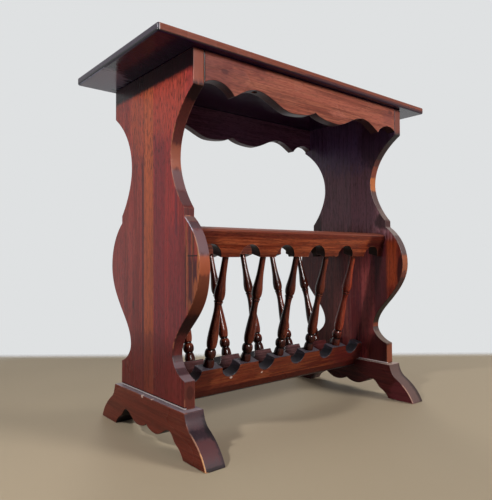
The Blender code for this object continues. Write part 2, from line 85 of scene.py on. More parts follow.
level_right = Vector((math.cos(CAMERA_YAW), -math.sin(CAMERA_YAW), 0))
forward = Vector((math.sin(CAMERA_YAW) * math.cos(CAMERA_PITCH),
                  math.cos(CAMERA_YAW) * math.cos(CAMERA_PITCH), math.sin(CAMERA_PITCH)))
level_up = level_right.cross(forward)
right = math.cos(CAMERA_ROLL) * level_right + math.sin(CAMERA_ROLL) * level_up
up = math.cos(CAMERA_ROLL) * level_up - math.sin(CAMERA_ROLL) * level_right
camera = bpy.data.objects.new("camera", bpy.data.cameras.new("camera"))
scene.collection.objects.link(camera)
camera.matrix_world = Matrix.Translation(CAMERA_PLACE) @ Matrix(
    (right, up, -forward)).transposed().to_4x4()
camera.data.sensor_width = SENSOR_MM
camera.data.lens = SENSOR_MM * FOCAL_PX / PICTURE_HEIGHT_PX
camera.data.shift_y = HORIZON_SHIFT_PX / PICTURE_HEIGHT_PX
camera.data.clip_start = NEAREST_SEEN
scene.camera = camera
print("lens in mm", round(camera.data.lens, 2))

# %% [markdown]
# ## Working on one piece at a time
#
# An operator acts on everything that is selected, so each step starts by selecting one
# piece alone. In edit mode the faces and edges are then chosen in code, by their place.

# %% Selecting
MERGE = 0.00001
FLAT_ANGLE = math.radians(0.4)
SHARP_ANGLE = math.radians(32)


def pick_only(piece):
    """Leave just this piece selected and active."""
    bpy.ops.object.select_all(action="DESELECT")
    piece.select_set(True)
    bpy.context.view_layer.objects.active = piece


def choose_edges(piece, test):
    """In edit mode, select only the edges for which the test holds, and say how many."""
    bpy.ops.mesh.select_mode(type="EDGE")
    bpy.ops.mesh.select_all(action="DESELECT")
    shape = bmesh.from_edit_mesh(piece.data)
    chosen = [edge for edge in shape.edges if test(edge)]
    for edge in chosen:
        edge.select_set(True)
    shape.select_flush_mode()
    bmesh.update_edit_mesh(piece.data)
    return len(chosen)


def is_sharp(edge):
    """True for an edge whose two faces meet at a clear angle."""
    return len(edge.link_faces) == 2 and edge.calc_face_angle(0) > SHARP_ANGLE


print("edges sharper than", round(math.degrees(SHARP_ANGLE)), "degrees are eased")

# %% [markdown]
# ## Taking a board from the frame
#
# The frame's solids are loose triangles with hard edges. A copy of one is merged, and its
# flat triangles are dissolved into whole faces, so that a bevel can follow the outline.

# %% Board from a node
def board_from(node):
    """A merged copy of a node's mesh as a new piece that stands for the node."""
    piece = bpy.data.objects.new(node + "_wood", nodes[node].data.copy())
    scene.collection.objects.link(piece)
    pick_only(piece)
    bpy.ops.object.mode_set(mode="EDIT")
    bpy.ops.mesh.select_all(action="SELECT")
    bpy.ops.mesh.remove_doubles(threshold=MERGE)
    bpy.ops.mesh.dissolve_limited(angle_limit=FLAT_ANGLE)
    bpy.ops.object.mode_set(mode="OBJECT")
    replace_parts(piece, node)
    return piece


print("points closer than", 1000 * MERGE, "mm are merged")

# %% [markdown]
# ## Easing the edges
#
# A maker breaks each sharp edge with sandpaper, and years of hands and dusters round it
# more. A bevel of a millimetre or so does that. The bevel puts its strips in a second
# material slot for a moment, by which they are told from the faces and marked, so that the
# finish can be worn through just there. Weighted normals keep the big faces flat.

# %% Easing
EASE_STEPS = 3
ROUND_PROFILE = 0.5


def ease(piece, radius, steps=EASE_STEPS, test=is_sharp):
    """Round the chosen edges, mark the new strips as arris, and smooth the shading."""
    pick_only(piece)
    piece.data.materials.clear()
    piece.data.materials.append(None)
    piece.data.materials.append(None)
    bpy.ops.object.mode_set(mode="EDIT")
    count = choose_edges(piece, test)
    bpy.ops.mesh.bevel(offset=radius, offset_type="OFFSET", segments=steps,
                       profile=ROUND_PROFILE, affect="EDGES", clamp_overlap=False, material=1)
    shape = bmesh.from_edit_mesh(piece.data)
    marks = shape.faces.layers.float.new("arris")
    for face in shape.faces:
        face[marks] = float(face.material_index)
        face.material_index = 0
    bmesh.update_edit_mesh(piece.data)
    bpy.ops.object.mode_set(mode="OBJECT")
    smooth(piece)
    return count


def smooth(piece):
    """Smooth shading that leaves large faces flat."""
    pick_only(piece)
    bpy.ops.object.shade_smooth_by_angle(angle=SHARP_ANGLE)
    bpy.ops.object.modifier_add(type="WEIGHTED_NORMAL")
    piece.modifiers[-1].keep_sharp = True
    bpy.ops.object.modifier_apply(modifier=piece.modifiers[-1].name)


print("an eased edge has", EASE_STEPS, "strips")

# %% [markdown]
# ## The top
#
# The top is one thin board with an eased nose all round. A cube is added at the board's
# size. Its upright edges are rounded for the corners, and then the edges of both faces.

# %% Top
TOP_CORNER = 0.004
TOP_NOSE = 0.0026
TOP_STEPS = 4

top_low, top_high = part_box("top_board")
bpy.ops.object.select_all(action="DESELECT")
bpy.ops.mesh.primitive_cube_add(size=1, location=(top_low + top_high) / 2,
                                scale=top_high - top_low)
top = bpy.context.active_object
top.name = "top_board_wood"
bpy.ops.object.transform_apply(location=True, rotation=True, scale=True)
bpy.ops.object.mode_set(mode="EDIT")
choose_edges(top, lambda edge: abs(edge.verts[0].co.z - edge.verts[1].co.z) > TOP_CORNER)
bpy.ops.mesh.bevel(offset=TOP_CORNER, segments=TOP_STEPS, affect="EDGES")
bpy.ops.object.mode_set(mode="OBJECT")
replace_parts(top, "top_board")
print("top edges eased", ease(top, TOP_NOSE, TOP_STEPS))

# %% [markdown]
# ## Aprons, feet and rails
#
# These are single sawn boards, so each is its own piece from the frame. The feet are
# rubbed the most, and get the widest easing.

# %% Aprons, feet and rails
APRON_EASE = 0.0010
FOOT_EASE = 0.0014
RAIL_EASE = 0.0011

aprons = [board_from(name) for name in ("front_apron", "back_apron")]
feet = [board_from(name) for name in ("left_foot", "right_foot")]
rails = [board_from(side + level) for side in ("front_", "back_")
         for level in ("upper_rail", "lower_rail")]
for pieces, radius in ((aprons, APRON_EASE), (feet, FOOT_EASE), (rails, RAIL_EASE)):
    for piece in pieces:
        print(piece.name, "edges eased", ease(piece, radius))

# %% [markdown]
# ## End panels
#
# Each panel is two boards glued edge to edge and planed flush. The frame keeps a hair of
# space between them. Here the two glued faces are brought together, and they aren't
# eased, so that only the change of colour shows the joint. The bandsaw leaned below the
# left front hip, so there the inner face reaches further forwards than the outer one.

# %% The flank below the left hip
FLANK_HEIGHT = 0.200
FLANK_REACH = 0.060
FLANK_OUT = 0.0070


def lean_flank(piece, face_x):
    """Move the sawn outline of the face at face_x forwards, most at the flank's middle."""
    pick_only(piece)
    bpy.ops.object.mode_set(mode="EDIT")
    bpy.ops.mesh.select_mode(type="VERT")
    heights = {round(vertex.co.z, 5) for vertex in bmesh.from_edit_mesh(piece.data).verts
               if abs(vertex.co.z - FLANK_HEIGHT) < FLANK_REACH}
    for height in sorted(heights):
        bpy.ops.mesh.select_all(action="DESELECT")
        shape = bmesh.from_edit_mesh(piece.data)
        for vertex in shape.verts:
            if abs(vertex.co.z - height) < MERGE and abs(vertex.co.x - face_x) < MERGE:
                vertex.select_set(True)
        bmesh.update_edit_mesh(piece.data)
        share = math.cos(math.pi / 2 * (height - FLANK_HEIGHT) / FLANK_REACH) ** 2
        bpy.ops.transform.translate(value=(0, -FLANK_OUT * share, 0))
    bpy.ops.object.mode_set(mode="OBJECT")
    return len(heights)


print("flank leans forwards in mm", 1000 * FLANK_OUT)

# %% End panels
PANEL_EASE = 0.0011
GLUE_GAP = 0.0003


def on_the_joint(edge):
    """True for an edge of the face that is glued."""
    return all(abs(vertex.co.y - glue_y) < GLUE_GAP for vertex in edge.verts)


panels = {}
left_faces = {}
for end in ("left", "right"):
    front_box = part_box(end + "_panel_front_board")
    left_faces[end] = front_box[0].x
    glue_y = front_box[1].y + GLUE_GAP / 2
    for side in ("front", "back"):
        piece = board_from(f"{end}_panel_{side}_board")
        if (end, side) == ("left", "front"):
            print("flank rows moved", lean_flank(piece, front_box[1].x))
        pick_only(piece)
        bpy.ops.object.mode_set(mode="EDIT")
        choose_edges(piece, on_the_joint)
        to_the_joint = GLUE_GAP / 2 if side == "front" else -GLUE_GAP / 2
        bpy.ops.transform.translate(value=(0, to_the_joint, 0))
        bpy.ops.object.mode_set(mode="OBJECT")
        ease(piece, PANEL_EASE, test=lambda edge: is_sharp(edge) and not on_the_joint(edge))
        panels[end, side] = piece
print("panel boards", len(panels), "glue line at y in mm", round(1000 * glue_y, 1))

# %% [markdown]
# ## Turned spindles
#
# A spindle is turned on a lathe: flared foot, bead, long body, thin ring and a slim
# baluster. Its profile is spun round its axis. The axis of each one is measured from the
# frame: its points are spread evenly round it, so it is their longest direction. The faces
# in the narrow grooves are marked, so that the finish can darken them.

# %% Spindle profile
PIN_LENGTH = 0.011
PIN_RADIUS = 0.0034
SPINDLE_DIAMETER = 0.0178
SPIN_STEPS = 40

# Places from the foot as shares of the length, and shares of the fullest diameter.
PROFILE_SHARES = (
    (0.000, 0.99), (0.016, 1.00), (0.030, 0.97), (0.044, 0.92), (0.057, 0.86), (0.066, 0.77),
    (0.072, 0.72), (0.077, 0.72), (0.083, 0.84), (0.092, 0.95), (0.104, 1.02), (0.118, 1.05),
    (0.132, 1.03), (0.145, 0.95), (0.155, 0.82), (0.160, 0.72), (0.166, 0.70), (0.172, 0.72),
    (0.176, 0.83), (0.190, 0.90), (0.210, 0.97), (0.235, 1.00), (0.262, 0.99), (0.300, 0.95),
    (0.350, 0.87), (0.400, 0.78), (0.450, 0.69), (0.500, 0.62), (0.535, 0.62), (0.560, 0.66),
    (0.576, 0.71), (0.579, 0.68), (0.583, 0.68), (0.586, 0.80), (0.591, 0.83), (0.598, 0.80),
    (0.601, 0.71), (0.605, 0.72), (0.615, 0.84), (0.628, 0.93), (0.645, 0.98), (0.662, 0.99),
    (0.685, 0.97), (0.705, 0.93), (0.735, 0.84), (0.770, 0.75), (0.810, 0.67), (0.850, 0.62),
    (0.920, 0.58), (1.000, 0.55),
)
# The grooves that the finish darkens, as ranges of the same shares of the length.
GROOVE_SHARES = ((0.062, 0.084), (0.156, 0.176), (0.574, 0.586), (0.598, 0.608))


def axis_of(node):
    """The two ends of a turned node's axis, lower end first."""
    points = np.array([vertex.co for vertex in nodes[node].data.vertices])
    middle = (points.min(0) + points.max(0)) / 2
    direction = np.linalg.svd(points - points.mean(0), full_matrices=False)[2][0]
    direction *= np.sign(direction[2])
    along = (points - middle) @ direction
    return Vector(middle + along.min() * direction), Vector(middle + along.max() * direction)


first_low, first_high = axis_of("front_spindle_1")
spindle_length = (first_high - first_low).length - 2 * PIN_LENGTH
print("spindle length in mm", round(1000 * spindle_length, 1))

# %% Spin one spindle
profile = [(0, -PIN_LENGTH), (PIN_RADIUS, -PIN_LENGTH), (PIN_RADIUS, 0)]
profile += [(wide_share * SPINDLE_DIAMETER / 2, long_share * spindle_length)
            for long_share, wide_share in PROFILE_SHARES]
profile += [(PIN_RADIUS, spindle_length), (PIN_RADIUS, spindle_length + PIN_LENGTH),
            (0, spindle_length + PIN_LENGTH)]
bpy.ops.object.select_all(action="DESELECT")
bpy.ops.mesh.primitive_plane_add(size=SPINDLE_DIAMETER)
pattern = bpy.context.active_object
pattern.name = "spindle_pattern"
bpy.ops.object.mode_set(mode="EDIT")
bpy.ops.mesh.delete(type="VERT")
shape = bmesh.from_edit_mesh(pattern.data)
corners = [shape.verts.new((radius, 0, height)) for radius, height in profile]
for start, end in zip(corners, corners[1:]):
    shape.edges.new((start, end))
bmesh.update_edit_mesh(pattern.data)
bpy.ops.mesh.select_all(action="SELECT")
bpy.ops.mesh.spin(steps=SPIN_STEPS, angle=math.tau, center=(0, 0, 0), axis=(0, 0, 1))
bpy.ops.mesh.select_all(action="SELECT")
bpy.ops.mesh.remove_doubles(threshold=MERGE)
bpy.ops.mesh.normals_make_consistent(inside=False)
bpy.ops.object.mode_set(mode="OBJECT")
smooth(pattern)
heights = [face.center.z / spindle_length for face in pattern.data.polygons]
marks = [float(any(low < height < high for low, high in GROOVE_SHARES))
         for height in heights]
pattern.data.attributes.new("groove", "FLOAT", "FACE").data.foreach_set("value", marks)
print("spindle faces", len(pattern.data.polygons), "in grooves", int(sum(marks)))

# %% [markdown]
# ## Placing the spindles
#
# All ten are copies of the one pattern. In the photograph the left panel keeps the light off
# the side that faces left and back. These lamps don't give that shade, so it is painted on,
# most of it near the panel. How dark it is gets written on the points for the finish.

# %% Place the spindles
# The painted shade faces this way, and sets in where the cosine of the slant grows from
# one value to the other. Each row of shares is for one side's spindles, from the left on.
SHADED_SIDE = Vector((-0.86, 0.51, 0))
SHADED_FROM, SHADED_TO = 0.15, 0.50
SHADED_SHARES = {"front": (1.0, 1.0, 0.95, 0.7, 0.0), "back": (0.7, 0.7, 0.7, 0.7, 0.7)}

spindles = []
for side in ("front", "back"):
    for number, side_share in enumerate(SHADED_SHARES[side], start=1):
        node = f"{side}_spindle_{number}"
        low, high = axis_of(node)
        direction = (high - low).normalized()
        piece = pattern.copy()
        piece.data = pattern.data.copy()
        piece.name = node + "_turned"
        scene.collection.objects.link(piece)
        turn = direction.to_track_quat("Z", "Y").to_matrix().to_4x4()
        piece.data.transform(Matrix.Translation(low + direction * PIN_LENGTH) @ turn)
        shares = [(vertex.normal.dot(SHADED_SIDE) - SHADED_FROM) / (SHADED_TO - SHADED_FROM)
                  for vertex in piece.data.vertices]
        shares = np.clip(shares, 0, 1) * side_share
        piece.data.attributes.new("shaded", "FLOAT", "POINT").data.foreach_set("value", shares)
        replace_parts(piece, node)
        spindles.append(piece)
bpy.data.objects.remove(pattern, do_unlink=True)
lean = math.degrees(direction.angle(Vector((0, 0, 1))))
print("spindles", len(spindles), "lean in degrees", round(lean, 1))

# %% [markdown]
# ## Sawn faces
#
# The broad faces of a board were planed and polished well. The sawn outline, the ends and
# the notches took the stain darker and the polish thinner. Which faces those are is written
# on the mesh, by comparing each face with the broadest one.

# %% Sawn faces
BROAD_SHARE = 0.8


def mark_sawn(piece):
    """Mark the faces that don't lie along the board's broadest face, and say how many."""
    broadest = max(piece.data.polygons, key=lambda face: face.area).normal
    marks = [float(abs(face.normal.dot(broadest)) < BROAD_SHARE) for face in piece.data.polygons]
    piece.data.attributes.new("sawn", "FLOAT", "FACE").data.foreach_set("value", marks)
    return int(sum(marks))


boards = [top, *aprons, *feet, *rails, *panels.values()]
for piece in boards:
    print(piece.name, "sawn faces", mark_sawn(piece), "of", len(piece.data.polygons))

# %% [markdown]
# ## Colours and nodes
#
# Colours are written as on a paint card. Blender's shaders work in linear light, so one
# function turns them. Another one adds a node with its settings and links. A node that is
# given as an input stands for its first output in use.

# %% Colours and nodes
def tone(code):
    """A colour in hex digits, turned by the sRGB curve to linear light."""
    shares = [int(code[i:i + 2], 16) / 255 for i in (1, 3, 5)]
    return (*[s / 12.92 if s <= 0.04045 else ((s + 0.055) / 1.055) ** 2.4 for s in shares], 1.0)


def feed(tree, socket, value):
    """Give a socket a plain value, or link it from another socket or from a node."""
    if isinstance(value, bpy.types.Node):
        value = next(output for output in value.outputs if output.enabled)
    if isinstance(value, bpy.types.NodeSocket):
        tree.links.new(value, socket)
    else:
        socket.default_value = value


def add(tree, kind, inputs=(), **settings):
    """Add a node. Inputs are a dictionary by socket name, or else a row of them for the
    sockets that its settings leave in use, in their order."""
    made = tree.nodes.new("ShaderNode" + kind)
    for name, value in settings.items():
        setattr(made, name, value)
    in_use = [index for index, socket in enumerate(made.inputs) if socket.enabled]
    by_socket = inputs if isinstance(inputs, dict) else dict(zip(in_use, inputs))
    for socket, value in by_socket.items():
        feed(tree, made.inputs[socket], value)
    return made


def new_material(name):
    """A new material, its node tree and its surface."""
    made = bpy.data.materials.new(name)
    made.use_nodes = True
    return made, made.node_tree, made.node_tree.nodes["Principled BSDF"]


# Settings that several nodes share: a soft start and end of a range, and a mix of colours.
SOFTLY = {"interpolation_type": "SMOOTHSTEP"}
COLOURS = {"data_type": "RGBA"}
print("mahogany brown in linear light", [round(c, 3) for c in tone("#75413E")[:3]])

# %% [markdown]
# ## Patterns in wood
#
# Everything in a board follows its grain, so each pattern is noise that is stretched along
# one axis. Its spots lie a real number of millimetres apart.

# %% Patterns in wood
MM_IN_A_METRE = 1000
ALONG_X, ALONG_Y, ALONG_Z = 0, 1, 2


def pattern_of(tree, place, apart_mm, grain, stretch_share=1.0, detail=3.0, distortion=0.0):
    """Noise whose spots lie apart_mm apart across the grain, and further apart along it."""
    per_metre = MM_IN_A_METRE / apart_mm
    scale = [per_metre * (stretch_share if axis == grain else 1.0) for axis in range(3)]
    stretched = add(tree, "VectorMath", (place, scale), operation="MULTIPLY")
    return add(tree, "TexNoise", {"Vector": stretched, "Scale": 1.0, "Detail": detail,
                                  "Distortion": distortion})


print("grain axes", ALONG_X, ALONG_Y, ALONG_Z)

# %% [markdown]
# ## Marks of age
#
# A mark is a place on the table with half sizes, both in millimetres, and noise makes its
# outline ragged. A mark under the polish, such as a stripe in the plank, is crossed by
# fibres and pores. A mark over it, such as a chip, a line of dust or a rubbed edge, hides
# them. Each kind says whether it is square, whether it lies over the polish, and on which
# marked faces or points it shows, where it doesn't show on all.
#
# Not every mark is age. Some paint in shade, or a reflection, that the photograph has and
# these lamps don't give. Those stay where they are when the light changes.

# %% Marks of age and painted shade
MARK_KINDS = {
    "stripe": (True, False, ""), "patch": (False, False, ""), "line": (True, True, ""),
    # Pale round spots are chips, and one is a painted reflection. Rubbed arrises are wear, and one
    # is a painted glint.
    "chip and reflection": (False, True, ""), "rubbed arris and glint": (False, True, "arris"),
    "sawn stripe": (True, True, "sawn"), "sawn patch": (False, True, "sawn"),
    "groove": (False, True, "groove"), "shaded side": (False, True, "shaded"),
}
# A half size in millimetres that reaches past the whole table.
FAR = 400
# How far out from its centre a mark starts and where it is full, with 1 at its outline, and
# how much further out both lie as it gets more ragged.
STARTS, STARTS_RAGGED = 1.0, 0.8
FULL, FULL_RAGGED = 0.98, 0.2


def reach(tree, own, centre, halves, square):
    """How far out from a mark's centre a point lies: 1 at its outline."""
    offset = add(tree, "VectorMath", (own, [c / MM_IN_A_METRE for c in centre]),
                 operation="SUBTRACT")
    offset = add(tree, "VectorMath", (offset, [h / MM_IN_A_METRE for h in halves]),
                 operation="DIVIDE")
    if not square:
        return add(tree, "VectorMath", (offset,), operation="LENGTH")
    apart = add(tree, "VectorMath", (offset,), operation="ABSOLUTE")
    sides = add(tree, "SeparateXYZ", (apart,)).outputs
    furthest = add(tree, "Math", (sides["X"], sides["Y"]), operation="MAXIMUM")
    return add(tree, "Math", (furthest, sides["Z"]), operation="MAXIMUM")


def marked(tree, colour, own, torn, marks, over):
    """The colour with its marks under the polish, or over it. A mark is
    (kind, centre, halves, colour, strength, ragged)."""
    for kind, centre, halves, shade, strength, ragged in marks:
        square, lies_over, faces = MARK_KINDS[kind]
        if lies_over == over:
            frayed = add(tree, "Math", (torn, ragged), operation="MULTIPLY")
            out = add(tree, "Math", (reach(tree, own, centre, halves, square), frayed),
                      operation="ADD")
            inside = add(tree, "MapRange", (out, STARTS + STARTS_RAGGED * ragged,
                                            FULL + FULL_RAGGED * ragged, 0, strength), **SOFTLY)
            if faces:
                there = add(tree, "Attribute", attribute_name=faces).outputs["Fac"]
                inside = add(tree, "Math", (inside, there), operation="MULTIPLY")
            colour = add(tree, "Mix", (inside, colour, tone(shade)), **COLOURS)
    return colour


print("kinds of marks", len(MARK_KINDS))

# %% [markdown]
# ## Polished mahogany
#
# Mahogany has a straight grain with fine dark fibres and short dark pores, and a figure of
# broader stripes. The boards were sawn, planed, stained and rubbed with shellac, which leaves
# a thin hard gloss over the colour. The stripes are as wide as on such boards. Fibres and
# pores are half a millimetre wide or less, which wouldn't show from a step away, so they are
# drawn more than twice as wide.

# %% Stripes, patches and bright fibres
APART_MM = {"figure": 17, "fibre": 2.6, "fine": 3.6, "pore": 1.3, "patch": 90, "torn": 5,
            "wear": 12}
STRETCH_SHARES = {"figure": 0.03, "fibre": 0.03, "fine": 0.03, "pore": 0.12, "patch": 0.4,
                  "torn": 0.3, "wear": 0.5}
DETAIL = {"figure": 2, "fibre": 4, "fine": 2, "pore": 1, "patch": 2, "torn": 3, "wear": 4}
DISTORTION = {"figure": 0.3}
# The values of a pattern's noise at which it sets in and at which it is full.
SETS_IN = {"figure": (0.38, 0.60), "patch": (0.48, 0.70), "fibre": (0.47, 0.60),
           "fine": (0.52, 0.40), "pore": (0.52, 0.63), "sheen": (0.3, 0.7)}
PATCH_SHARE = 0.4


def bare_wood(tree, drawn, shades, streaks):
    """The stained wood's colour, made of its deep, middle and bright shades."""
    deep, middle, bright = [tone(shade) for shade in shades]
    colour = deep
    for what, much, shade in (("figure", 1.0, middle), ("patch", PATCH_SHARE, deep),
                              ("fibre", streaks, bright)):
        here = add(tree, "MapRange", (drawn[what], *SETS_IN[what], 0, much), **SOFTLY)
        colour = add(tree, "Mix", (here, colour, shade), **COLOURS)
    return colour


print("patterns in mm", APART_MM)

# %% Dark fibres and pores
FINE_SHARE = 0.5
FILLED_PORE_SHARE = 0.6
PORES_OPEN_WITHIN = 0.06
PORE_SHADE = "#2C120E"


def with_pores(tree, colour, drawn, own, pores, open_above, streaks):
    """The colour with dark fibres and pores, and where the pores are. Up to the height
    open_above, in metres, hands and dusters have partly filled the pores with polish."""
    here = add(tree, "MapRange", (drawn["fine"], *SETS_IN["fine"], 0, FINE_SHARE * streaks),
               **SOFTLY)
    colour = add(tree, "Mix", (here, colour, tone(PORE_SHADE)), **COLOURS)
    height = add(tree, "SeparateXYZ", (own,)).outputs["Z"]
    openness = add(tree, "MapRange", (height, open_above - PORES_OPEN_WITHIN, open_above,
                                      FILLED_PORE_SHARE * pores, pores), **SOFTLY)
    dark_pores = add(tree, "MapRange", (drawn["pore"], *SETS_IN["pore"], 0, openness), **SOFTLY)
    return add(tree, "Mix", (dark_pores, colour, tone(PORE_SHADE)), **COLOURS), dark_pores


print("pore colour", PORE_SHADE)

# %% Sawn faces and rubbed edges
# Rubbed spots set in at these values less a share of the wear, and wear at least a little.
WORN_FROM, WORN_TO, WORN_SHARE = 0.66, 0.74, 0.2
LEAST_WEAR = 0.05


def with_bare_faces(tree, colour, drawn, sawn, sawn_share, worn, wear):
    """The colour, darker on the sawn faces and rubbed through to pale wood on the arris."""
    here = add(tree, "Math", (add(tree, "Attribute", attribute_name="sawn").outputs["Fac"],
                              sawn_share), operation="MULTIPLY")
    colour = add(tree, "Mix", (here, colour, tone(sawn)), **COLOURS)
    rubbed = add(tree, "MapRange", (drawn["wear"], WORN_FROM - WORN_SHARE * wear,
                                    WORN_TO - WORN_SHARE * wear, LEAST_WEAR, wear), **SOFTLY)
    here = add(tree, "Math", (add(tree, "Attribute", attribute_name="arris").outputs["Fac"],
                              rubbed), operation="MULTIPLY")
    return add(tree, "Mix", (here, colour, tone(worn)), **COLOURS)


print("least wear", LEAST_WEAR)

# %% Polish
SHELLAC_IOR = 1.5
SMOOTHER, ROUGHER, SAWN_ROUGHER = -0.04, 0.06, 0.12
PORE_DEPTH = 1.5
BUMP_STRENGTH = 0.2
BUMP_DISTANCE = 0.0004


def polish(tree, surface, drawn, dark_pores, rough, gloss):
    """The shellac's gloss, duller on sawn faces, over fibres and pores in low relief."""
    sheen = add(tree, "MapRange", (drawn["patch"], *SETS_IN["sheen"], rough + SMOOTHER,
                                   rough + ROUGHER), **SOFTLY)
    duller = add(tree, "Math", (add(tree, "Attribute", attribute_name="sawn").outputs["Fac"],
                                SAWN_ROUGHER), operation="MULTIPLY")
    feed(tree, surface.inputs["Roughness"], add(tree, "Math", (sheen, duller), operation="ADD"))
    pits = add(tree, "Math", (dark_pores, PORE_DEPTH), operation="MULTIPLY")
    relief = add(tree, "Math", (drawn["fibre"], pits), operation="SUBTRACT")
    feed(tree, surface.inputs["Normal"], add(tree, "Bump", {
        "Height": relief, "Strength": BUMP_STRENGTH, "Distance": BUMP_DISTANCE}))
    surface.inputs["IOR"].default_value = SHELLAC_IOR
    surface.inputs["Specular IOR Level"].default_value = gloss


print("index of refraction of shellac", SHELLAC_IOR)

# %% Polished mahogany
# Each wood's own number moves its noise by these shares of it, so that no two are alike.
SEED_SHARES = (1.0, 1.7, 0.6)


def mahogany(name, shades, grain, seed, rough=0.28, gloss=0.16, worn="#8E4A2C", wear=0.35,
             pores=0.4, open_above=0.0, streaks=0.6, sawn="#3A1A16", sawn_share=0.6,
             marks=()):
    """A polished mahogany. Grain is the axis along which its fibres run. Worn and sawn are
    the colours of its rubbed edges and its sawn faces. Wear, pores, streaks and sawn_share
    say how strongly each of these shows."""
    made, tree, surface = new_material("polished mahogany, " + name)
    own = add(tree, "TexCoord").outputs["Object"]
    place = add(tree, "VectorMath", (own, [share * seed for share in SEED_SHARES]),
                operation="ADD")
    drawn = {what: pattern_of(tree, place, apart_mm, grain, STRETCH_SHARES[what], DETAIL[what],
                              DISTORTION.get(what, 0.0)) for what, apart_mm in APART_MM.items()}
    colour = bare_wood(tree, drawn, shades, streaks)
    colour = marked(tree, colour, own, drawn["torn"], marks, False)
    colour, dark_pores = with_pores(tree, colour, drawn, own, pores, open_above, streaks)
    colour = with_bare_faces(tree, colour, drawn, sawn, sawn_share, worn, wear)
    colour = marked(tree, colour, own, drawn["torn"], marks, True)
    feed(tree, surface.inputs["Base Color"], colour)
    polish(tree, surface, drawn, dark_pores, rough, gloss)
    return made


print("seed shares", SEED_SHARES)

# %% [markdown]
# ## Finish of the top
#
# The top's broad faces are a plain red brown. Its underside is painted nearly black, as dark
# as its shade in the photograph, with a grey patch at its left end where the photograph has
# a reflection of the wall. The edge all round is darker low down, dark grey on the left
# end, and rubbed a little along its nose.

# %% Finish of the top
finishes = {"top_board_wood": mahogany(
    "top", ("#5A261B", "#743222", "#8E482E"), ALONG_X, 3.1, rough=0.14, gloss=0.18,
    streaks=0.6, worn="#9A5A3A", wear=0.3, sawn="#8A4630", sawn_share=0.5, marks=(
        # Painted shade: the underside nearly black.
        ("line", (0, 0, 567.5), (FAR, 200, 1.2), "#3A1A40", 0.98, 0.0),
        # Painted reflection of the wall at the underside's left end.
        ("chip and reflection", (-295, 105, 568), (48, 75, 3), "#C4C4DC", 0.8, 0.5),
        # Painted shade on the lower half of the nose, where it turns under.
        ("sawn stripe", (0, 0, 568), (FAR, 200, 2.4), "#1C0E10", 0.9, 0.3),
        ("sawn stripe", (140, 0, 569), (190, 200, 4.5), "#3A2028", 0.75, 0.5),
        ("sawn stripe", (-308, 0, 575), (3, 200, 8), "#2C2A36", 0.95, 0.0),
        ("sawn stripe", (-308, 0, 570), (3, 200, 1.6), "#0E0A0C", 0.95, 0.5)))}
print("finished", list(finishes))

# %% [markdown]
# ## Finishes of the aprons
#
# The front apron is the reddest board, with darker blotches near its ends and painted shade
# along its top edge, under the top's nose. Its scalloped lower edge is painted dark grey, for
# the shade and sheen where it faces down. The back apron is a duller purple brown, and its
# inner face is painted a paler purple, the tint of the shade under the top.

# %% Finishes of the aprons
finishes["front_apron_wood"] = mahogany(
    # The dark grey sawn colour is painted shade and sheen on the scalloped lower edge.
    "front apron", ("#823E2C", "#A25642", "#B66A4E"), ALONG_X, 5.3, sawn="#3A2A2E",
    sawn_share=0.8, pores=0.3, streaks=0.5, marks=(
        ("patch", (-205, -118, 540), (60, 5, 40), "#7A3A32", 0.75, 0.9),
        # Painted shade along the top edge, under the top's nose.
        ("patch", (-150, -118, 558), (60, 5, 14), "#7A382E", 0.7, 0.8),
        ("patch", (205, -118, 546), (26, 5, 22), "#7E4038", 0.6, 0.8),
        ("patch", (60, -118, 527), (30, 5, 9), "#C0705A", 0.6, 0.8),
        ("patch", (-190, -118, 545), (9, 5, 6), "#4A1E1C", 0.7, 0.8),
        ("patch", (212, -118, 556), (10, 5, 5), "#4A1E1C", 0.7, 0.8),
        # Painted shade right under the top.
        ("patch", (-119, -118, 564), (14, 5, 4), "#4A1E1C", 0.6, 0.8),
        ("line", (-226.5, -118, 540), (1.6, 6, 40), "#1C0C0A", 0.9, 1.2),
        ("line", (226.5, -118, 540), (1.6, 6, 40), "#1C0C0A", 0.9, 1.2)))
finishes["back_apron_wood"] = mahogany(
    "back apron", ("#743A36", "#8E4844", "#A25A50"), ALONG_X, 7.9, sawn="#1C1214", marks=(
        # Painted purple tint of the shade on the inner face.
        ("stripe", (0, 105, 540), (300, 5, 40), "#8A5A68", 0.85, 0.3),))
print("finished", list(finishes)[-2:])

# %% [markdown]
# ## Finishes of the feet
#
# Shoes and dusters rub the feet most. Dust lies as a pale line on the ledge round the
# panel, and along the outer edge of the front toes the polish has gone down to orange wood.
# Painted shade darkens the inside of the left foot's arch and the right side of its toe. The
# right foot is painted darker, for the shade it stands in, and has a greyer sawn edge.

